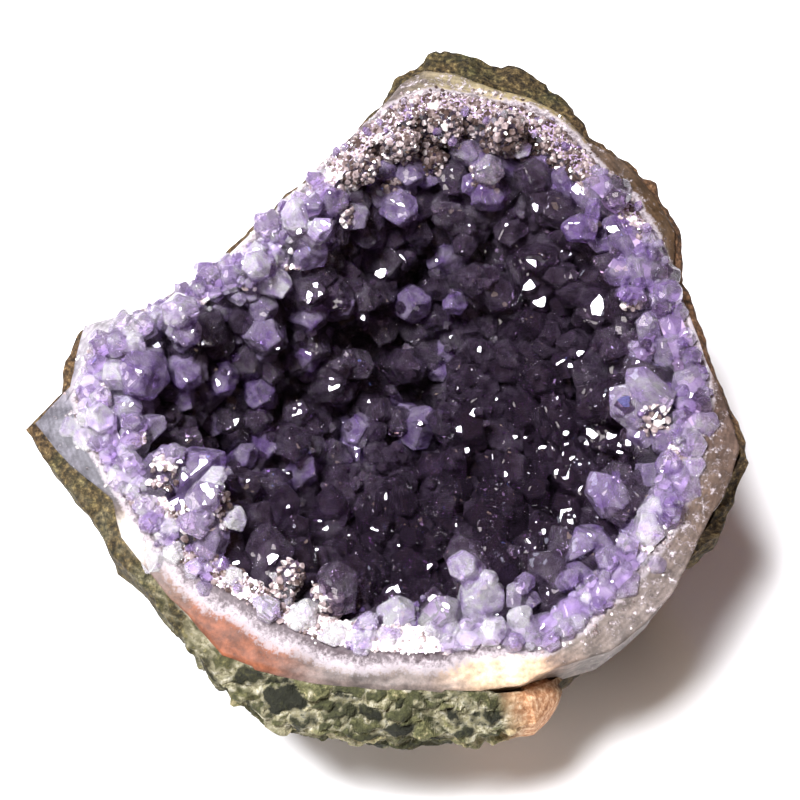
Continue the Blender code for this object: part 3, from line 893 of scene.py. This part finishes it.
def in_sugar_zone(place):
    """Whether a place lies in the belt of grains under the rim."""
    return is_sugary(place) and depth_below_rim(place) < by_bearing(SUGAR_DEPTH, place)


rim_faces = [polygon for polygon, part in zip(crust.data.polygons, parts) if part == RIM]
sugary_faces = [face for face in rim_faces if is_sugary(face.center / MM)]
print("sugary faces of the rim:", len(sugary_faces), "of", len(rim_faces))

# %% [markdown]
# Some crystals are large or bright enough to be known one by one. They are listed by where the
# camera sees them: across and down in a picture of 800 by 800, their width there, how violet
# they are and how tall. A line from the camera finds the place on the stone. Pale ones that
# would lie deep in the shade on the left stand on tall columns instead, so that they reach the
# light and yet keep their place in the picture. Paler ones go to the white and pale pieces,
# and the rest to the deep violet one.

# %% The crystals that one knows the stone by
PICTURE = 800
SHOWPIECES = (
    (145, 372, 58, 0.55, 1), (150, 402, 44, 0.60, 1), (198, 365, 46, 0.45, 1), (224, 375, 30, 0.50, 1),
    (165, 316, 40, 0.35, 1), (196, 306, 28, 0.35, 0), (222, 308, 28, 0.50, 0), (280, 256, 36, 0.20, 1),
    (330, 196, 42, 0.45, 1), (322, 228, 42, 0.50, 1), (312, 252, 38, 0.45, 1), (386, 174, 32, 0.60, 2),
    (376, 202, 34, 0.75, 1), (90, 385, 34, 0.15, 0), (66, 428, 26, 0.05, 0), (88, 436, 34, 0.05, 1),
    (112, 440, 30, 0.40, 1), (120, 478, 30, 0.05, 1), (138, 484, 32, 0.05, 1), (150, 504, 34, 0.25, 1),
    (185, 508, 26, 0.40, 0), (170, 524, 30, 0.10, 1), (176, 550, 30, 0.00, 0), (155, 560, 30, 0.00, 0),
    (232, 578, 26, 0.10, 1), (207, 586, 24, 0.35, 0), (222, 562, 20, 0.50, 1), (300, 612, 40, 0.00, 1),
    (332, 630, 36, 0.00, 0), (360, 617, 38, 0.00, 1), (396, 612, 44, 0.15, 1), (384, 634, 36, 0.20, 0),
    (407, 604, 26, 0.10, 2), (440, 616, 48, 0.22, 2), (480, 604, 50, 0.18, 3), (521, 628, 27, 0.00, 5),
    (545, 622, 36, 0.36, 1), (572, 610, 40, 0.40, 1), (600, 592, 36, 0.50, 1), (622, 580, 38, 0.32, 1),
    (584, 600, 18, 0.05, 2), (603, 527, 54, 0.75, 1), (646, 530, 38, 0.10, 2), (650, 508, 30, 0.10, 1),
    (656, 562, 24, 0.30, 0), (650, 480, 42, 0.40, 1), (684, 486, 38, 0.35, 1), (690, 464, 32, 0.20, 0),
    (664, 438, 34, 0.45, 1), (692, 444, 30, 0.30, 1), (702, 420, 36, 0.35, 0), (690, 386, 42, 0.35, 1),
    (668, 352, 38, 0.40, 1), (672, 326, 36, 0.50, 0), (642, 270, 38, 0.35, 1), (618, 272, 32, 0.45, 1),
    (628, 246, 42, 0.50, 1), (648, 240, 28, 0.40, 0), (600, 240, 28, 0.55, 1), (565, 184, 42, 0.60, 1),
    (598, 188, 34, 0.35, 0), (488, 172, 32, 0.25, 4), (540, 160, 30, 0.50, 0), (520, 145, 26, 0.20, 0),
    (428, 352, 38, 0.65, 1), (405, 402, 36, 0.85, 1), (592, 372, 46, 0.75, 1), (512, 352, 38, 0.85, 1),
    (270, 536, 36, 0.90, 1), (333, 558, 32, 0.85, 2), (336, 582, 32, 0.85, 1), (280, 476, 28, 0.60, 2),
    (290, 500, 30, 0.70, 1), (290, 380, 34, 0.85, 1), (330, 354, 34, 0.85, 1), (362, 316, 26, 0.70, 1),
    (385, 446, 50, 0.80, 1), (210, 432, 36, 0.70, 1), (440, 232, 36, 0.80, 1), (510, 440, 34, 0.80, 1),
    (555, 455, 34, 0.80, 1), (610, 340, 40, 0.75, 1), (530, 385, 34, 0.85, 1), (462, 385, 36, 0.85, 1),
)
WHITE_TONE, PALE_TONE = 0.22, 0.62
LIT_DEPTH, SHADED_SIDE = 4.0, (110, 300)
LIFT_OF_WHITE, LIFT_PER_TONE = 4.0, 5.5
TALLEST, SUNK = 5, 2.0


def line_of_sight(across, down):
    """Where a line from the camera starts, and its direction through a place in the picture."""
    step = optics.sensor_width / optics.lens / PICTURE
    ahead = Vector(((across - PICTURE / 2) * step, (PICTURE / 2 - down) * step, -1))
    return camera.location, (camera.rotation_euler.to_matrix() @ ahead).normalized()


def real_width(pixels, distance):
    """The width in metres of something that is so many pixels wide at a distance."""
    return pixels * distance * optics.sensor_width / optics.lens / PICTURE


def tree_of_all(pieces):
    """One search tree of several pieces."""
    points, faces = [], []
    for piece in pieces:
        start = len(points)
        points += [vertex.co.copy() for vertex in piece.data.vertices]
        faces += [[start + corner for corner in polygon.vertices] for polygon in piece.data.polygons]
    return BVHTree.FromPolygons(points, faces)


spread = Spread(8.0)
ground = tree_of_all((crust, agate))
snow_sites, rim_sites, wall_sites = [], [], []


def sites_for(tone):
    """The list that a crystal of this tone belongs to."""
    return snow_sites if tone < WHITE_TONE else rim_sites if tone < PALE_TONE else wall_sites


for across, down, width, tone, tall in SHOWPIECES:
    start, ahead = line_of_sight(across, down)
    spot, _, _, distance = ground.ray_cast(start, ahead)
    radius = real_width(width / 2, distance) / MM
    spread.free(spot / MM, radius, 0.0)
    too_deep = depth_below_rim(spot / MM) - LIT_DEPTH
    sunk = 0.0
    if tone < PALE_TONE and too_deep > 0 and SHADED_SIDE[0] < bearing_of(spot / MM) < SHADED_SIDE[1]:
        spot = spot - ahead * min(too_deep, LIFT_OF_WHITE + LIFT_PER_TONE * tone) * MM
        tall, sunk = TALLEST, SUNK
    up = (smooth_normal(spot) + Vector((0, 0, 1.0)) - ahead * 0.5).normalized()
    sites_for(tone).append((spot / MM - up * sunk * radius, up, radius, tone, tall))
print("known crystals:", len(SHOWPIECES))

# %% [markdown]
# The others fill what is left, from large to small, so that small ones end up in the gaps. Near
# the top of the stone only stubby ones grow, which keeps the stone inside its box.

# %% Fill the crust between them
frame_top = cad_box[1][2] / MM

# Parts of the crust, tries, radii in mm, how near they stand as a share of their radii, and where.
FILLING = (
    ((RIM,), 3000, (1.5, 2.6), 0.66, not_sugary),
    ((RIM,), 9000, (0.9, 1.8), 0.50, not_sugary),
    ((WALL, CRYSTAL), 9000, (2.3, 3.7), 0.62, lambda place: not in_sugar_zone(place)),
    ((RIM, WALL, CRYSTAL), 9000, (1.1, 2.0), 0.75, not_sugary),
)
sites = [site for row in FILLING for site in draw_places(*row, spread)]
for spot, up, radius in sites:
    tone = violet_with_painted_light_at(spot) + sites_dice.uniform(-0.2, 0.2)
    low = spot.z + 2.5 * radius < frame_top
    sites_for(tone).append((spot, up, radius, tone, sites_dice.randrange(1, 6) if low else 0))
print(len(snow_sites), "white crystals,", len(rim_sites), "pale and", len(wall_sites), "deep violet")

# %% [markdown]
# Thousands of separate objects would be slow, so the crystals of one kind become one mesh. Each
# is a sample that is scaled, spun, leaned a little at random and upwards, as crystals do in the
# stone, and sunk into the crust by part of its radius. Its tone is kept for each of its points.

# %% Copy the samples to their places


def mesh_piece(name, points, faces, violets):
    """A new piece from points, faces and how violet each point is."""
    mesh = bpy.data.meshes.new(name)
    mesh.from_pydata(points, [], faces)
    mesh.attributes.new("violet", "FLOAT", "POINT").data.foreach_set("value", violets)
    piece = bpy.data.objects.new(name, mesh)
    scene.collection.objects.link(piece)
    return piece


def grow(name, sites, samples, lean, pull, sink, unlike=0.0):
    """One mesh of many crystals. A site without a tone and a height of its own gets them at random."""
    points, faces, violets = [], [], []
    for spot, up, radius, *own in sites:
        tone, tall = own or (violet_with_painted_light_at(spot) + sites_dice.uniform(-unlike, unlike), sites_dice.randrange(6))
        sample = samples[tall * UNLIKE_POINTS + sites_dice.randrange(UNLIKE_POINTS)].data
        tilt = Vector([sites_dice.uniform(-lean, lean) for _ in range(3)])
        axis = (up + Vector((0, 0, pull)) + tilt).normalized()
        turned = axis.to_track_quat("Z", "Y").to_matrix().to_4x4()
        spin = Matrix.Rotation(sites_dice.uniform(0, math.pi / 3), 4, "Z")
        place = Matrix.Translation(spot - axis * sink * radius) @ turned @ spin @ Matrix.Scale(radius, 4)
        start = len(points)
        points += [(place @ vertex.co) * MM for vertex in sample.vertices]
        faces += [[start + corner for corner in polygon.vertices] for polygon in sample.polygons]
        violets += [tone] * len(sample.vertices)
    return mesh_piece(name, points, faces, violets)


grown = []
for name, sites, stone in (("rim_crystals", rim_sites, pale_stone), ("hollow_crystals", wall_sites, clear),
                           ("white_crystals", snow_sites, snow)):
    grown.append(grow(name, sites, worn_samples, 0.35, 0.3, 0.5))
    finish_mesh(grown[-1], stone, "amethyst")

# %% [markdown]
# The last crystals to grow are the smallest, and they sit on all the others. Their places are
# found by dropping lines from above onto what has grown so far, so they land where light and
# eye can reach.

# %% Drop the smallest crystals on the others
DROP_WIDTH, DROP_DEPTH, DROP_HEIGHT = (-60, 62), (-56, 64), 110
PALE_EDGE = 6.0
ON_THE_CRUST = 0.8


def drop_places(tree, tries, sizes, closeness, wanted, spread):
    """Places in mm that lines from above meet: place, direction and radius."""
    places = []
    for _ in range(tries):
        start = Vector((sites_dice.uniform(*DROP_WIDTH), sites_dice.uniform(*DROP_DEPTH), DROP_HEIGHT)) * MM
        down = Vector((sites_dice.uniform(-0.5, 0.5), sites_dice.uniform(-0.1, 0.7), -1)).normalized()
        spot, normal = tree.ray_cast(start, down)[:2]
        radius = sites_dice.uniform(*sizes)
        if spot and wanted(spot / MM) and spread.free(spot / MM, radius, closeness):
            places.append((spot / MM, (normal + Vector((0, 0, 0.4))).normalized(), radius))
    return places


def near_the_rim(place):
    """Whether a place lies on the crystals of the rim."""
    return -PALE_EDGE < depth_below_rim(place) < PALE_EDGE and gap_to(crust_tree, place) < ON_THE_CRUST


def in_the_hollow(place):
    """Whether a place lies down in the hollow."""
    return depth_below_rim(place) >= PALE_EDGE


grown_tree = tree_of_all((crust, *grown, agate))
small_rim = drop_places(grown_tree, 1500, (0.35, 0.9), 0.9, near_the_rim, Spread(2.2))
small_hollow = drop_places(grown_tree, 700, (0.5, 1.2), 1.0, in_the_hollow, Spread(2.6))
for name, sites, stone in (("small_rim_crystals", small_rim, pale_stone),
                           ("small_hollow_crystals", small_hollow, clear)):
    finish_mesh(grow(name, sites, sharp_samples, 0.5, 0.0, 0.4, 0.3), stone, "amethyst")

# %% [markdown]
# A crystal face is as flat as a mirror. Where one is turned halfway between the window and the
# eye it shows the window, and that is the white sparkle. Some crystals are turned so on
# purpose, at places listed like the ones above, and four more mirror the blue sky. Their stone
# has almost no growth facets, which would scatter the light.

# %% Turn a few faces to the window
GLINTS = (
    (537, 206, 15), (533, 264, 17), (528, 287, 20), (541, 303, 18), (600, 302, 30), (502, 270, 12),
    (616, 227, 18), (581, 353, 14), (571, 366, 9), (480, 348, 9), (497, 400, 9), (590, 430, 17),
    (543, 448, 13), (553, 396, 10), (475, 411, 10), (363, 315, 14), (381, 272, 13), (276, 347, 9),
    (234, 420, 13), (299, 485, 13), (275, 558, 17), (321, 523, 9), (373, 529, 9), (180, 462, 12),
    (288, 507, 8), (428, 565, 11), (655, 414, 10), (620, 452, 8), (284, 470, 14), (460, 428, 9),
    (437, 258, 8), (420, 424, 9), (350, 260, 9), (310, 300, 9),
)
BLUE_GLINTS = ((579, 310, 24), (623, 402, 20), (448, 440, 12), (367, 384, 10))
TURNS = 24
GLINT_TONE = 0.8
GLINT_SHARE = 0.62
FACE_MIDDLE = Vector((0.4, 0, 0.9))
FACE_NORMAL = Vector((math.cos(END_SLOPE), 0, math.sin(END_SLOPE)))


def standing_up(turn, half, normal):
    """The turn round the face's direction with which a crystal stands up best on the stone."""
    turns = [Matrix.Rotation(step * math.tau / TURNS, 3, half) @ turn for step in range(TURNS)]
    outwards = normal + Vector((0, 0, 1))
    return max(turns, key=lambda turned: (turned @ Vector((0, 0, 1))).dot(outwards))


def glint_crystals(name, table, lamp_direction):
    """Crystals whose largest end face mirrors a lamp to the camera."""
    points, faces = [], []
    for across, down, width in table:
        start, ahead = line_of_sight(across, down)
        spot, normal, _, distance = grown_tree.ray_cast(start, ahead)
        radius = real_width(GLINT_SHARE * width, distance)
        half = (lamp_direction - ahead).normalized()
        turn = standing_up(FACE_NORMAL.rotation_difference(half).to_matrix(), half, normal)
        sample = sharp_samples[sites_dice.randrange(6)].data
        start = len(points)
        narrow = Matrix.Diagonal((1.0, sites_dice.uniform(0.45, 1.0), 1.0))
        points += [spot - ahead * 0.3 * radius + turn @ (narrow @ (vertex.co - FACE_MIDDLE) * radius)
                   for vertex in sample.vertices]
        faces += [[start + corner for corner in polygon.vertices] for polygon in sample.polygons]
    return mesh_piece(name, points, faces, [GLINT_TONE] * len(points))


finish_mesh(glint_crystals("window_glints", GLINTS, KEY_DIRECTION), mirror_faced, "amethyst")
finish_mesh(glint_crystals("sky_glints", BLUE_GLINTS, SKY_DIRECTION), mirror_faced, "amethyst")

# %% [markdown]
# Where quartz had little room or time, it stayed as fine as sugar. Its grains are the sharp
# samples again, very small and leaning every way. They cover the sugary parts of the rim and
# the belt under it, and thin out on the agate with the distance from the crust.

# %% Quartz like sugar on the rim
SUGAR_TONE = ((0, 0.5), (50, 0.75), (100, 0.55), (115, 0.1), (200, 0.2), (225, 0.6), (250, 0.5), (262, 0.1),
              (290, 0.1), (305, 0.4), (360, 0.5))
AGATE_SUGAR = ((0, 3.0), (40, 2.5), (58, 4.0), (110, 5.0), (125, 2.0), (165, 2.0), (178, 4.0), (196, 3.0),
               (208, 1.0), (285, 0.8), (298, 2.0), (312, 5.0), (345, 4.0), (360, 3.0))
GRAINS = (
    ((RIM,), 6000, (0.45, 0.85), 0.9, is_sugary),
    ((RIM,), 26000, (0.25, 0.5), 0.55, is_sugary),
    ((WALL, CRYSTAL), 60000, (0.4, 0.9), 0.6, in_sugar_zone),
)


def by_the_crust(place):
    """Whether a place on the agate lies near enough to the quartz to carry grains."""
    reach = by_bearing(AGATE_SUGAR, place) * (1.0 + 0.8 * noise.noise(place / 3.0)) * sites_dice.random() ** 2
    return gap_to(crust_tree, place) < reach and depth_below_rim(place) < 9.0


def bare_upwards(polygon):
    """Whether a face of the agate is bare and doesn't look down."""
    return polygon.normal.z > -0.2 and basalt_tree.find_nearest(polygon.center)[3] > 0.8 * MM


spread = Spread(3.0)
grains = [grain for row in GRAINS for grain in draw_places(*row, spread)]
bare = [polygon for polygon in agate.data.polygons if bare_upwards(polygon)]
grains += draw_on_faces(agate, bare, 15000, (0.2, 0.45), 0.55, by_the_crust, Spread(2.4), True)
grains = [(spot, up, radius, by_bearing(SUGAR_TONE, spot) + sites_dice.uniform(-0.45, 0.35),
           sites_dice.randrange(3)) for spot, up, radius in grains]
finish_mesh(grow("rim_sugar", grains, sharp_samples, 0.8, 0.0, 0.6), sugar, "amethyst")
for sample in worn_samples + sharp_samples:
    bpy.data.objects.remove(sample)
print(len(grains), "grains of sugar")
